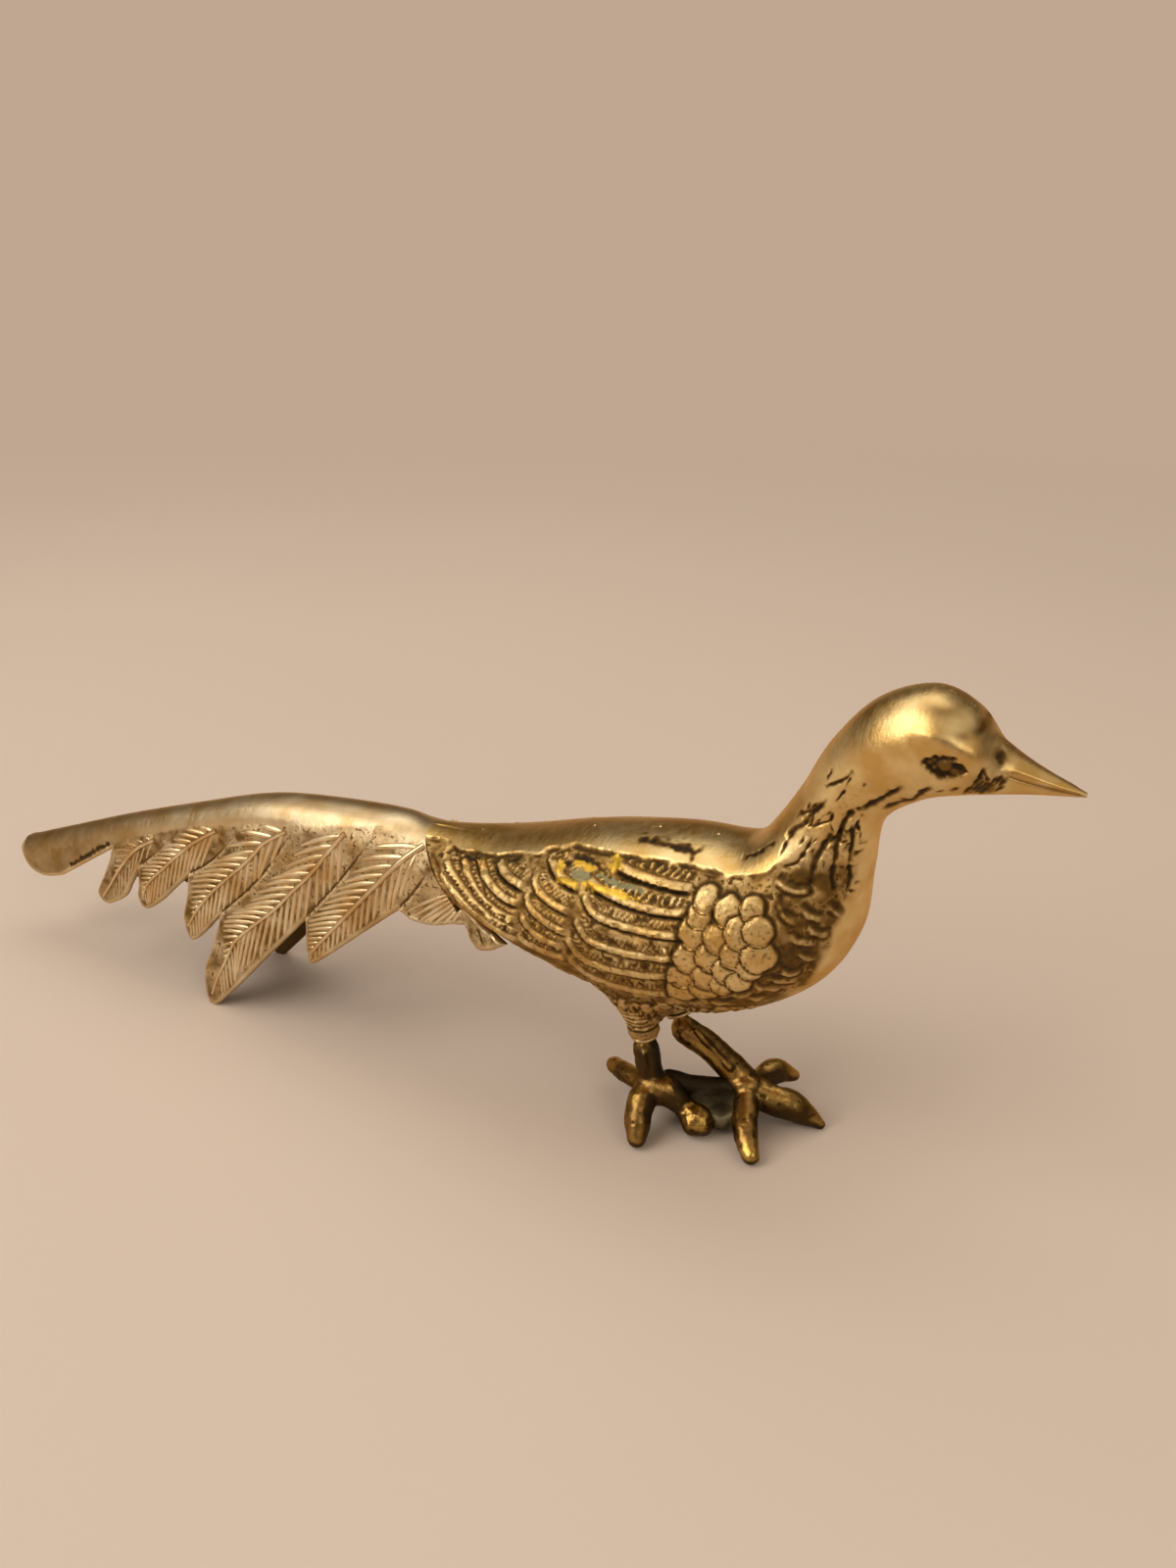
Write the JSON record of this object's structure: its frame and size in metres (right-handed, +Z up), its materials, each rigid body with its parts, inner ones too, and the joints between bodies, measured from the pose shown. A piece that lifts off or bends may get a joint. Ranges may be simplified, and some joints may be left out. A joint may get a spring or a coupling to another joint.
{
  "type": "pheasant figurine",
  "caption": "Cast brass standing pheasant ornament, hollow two-shell body, long open-backed feathered tail resting on its longest feathers, two brazed-on striding legs.",
  "frame": {"origin": "on the ground, at the middle of the overall box in length and width, which is the seam plane", "axes": "+X towards the beak, +Y towards the bird's own left, +Z up"},
  "size_m": [0.3074, 0.0468, 0.1228],
  "materials": {
    "body_brass": "cast brass, feather relief with brown patina in the hollows, polished smooth along the back, head and breast",
    "tail_brass": "cast brass feathers with barbs, satin worn highlights, polished ridge",
    "leg_brass": "unpolished cast brass with dark olive brown patina, worn gold on the toes",
    "braze_filler": "brazing filler, dull and slightly rough",
    "grey_filler": "grey lead-tin solder web with brass flecks"
  },
  "bodies": {
    "root": {"right_body_shell": "body_brass", "left_body_shell": "body_brass", "right_tail_panel": "tail_brass", "left_tail_panel": "tail_brass", "right_leg": "leg_brass", "left_leg": "leg_brass", "right_leg_braze_ring": "braze_filler", "left_leg_braze_ring": "braze_filler", "foot_bridge": "grey_filler", "back_seam_bead": "braze_filler", "belly_seam_bead": "braze_filler", "tail_seam_bead": "braze_filler"}
  },
  "joints": []
}
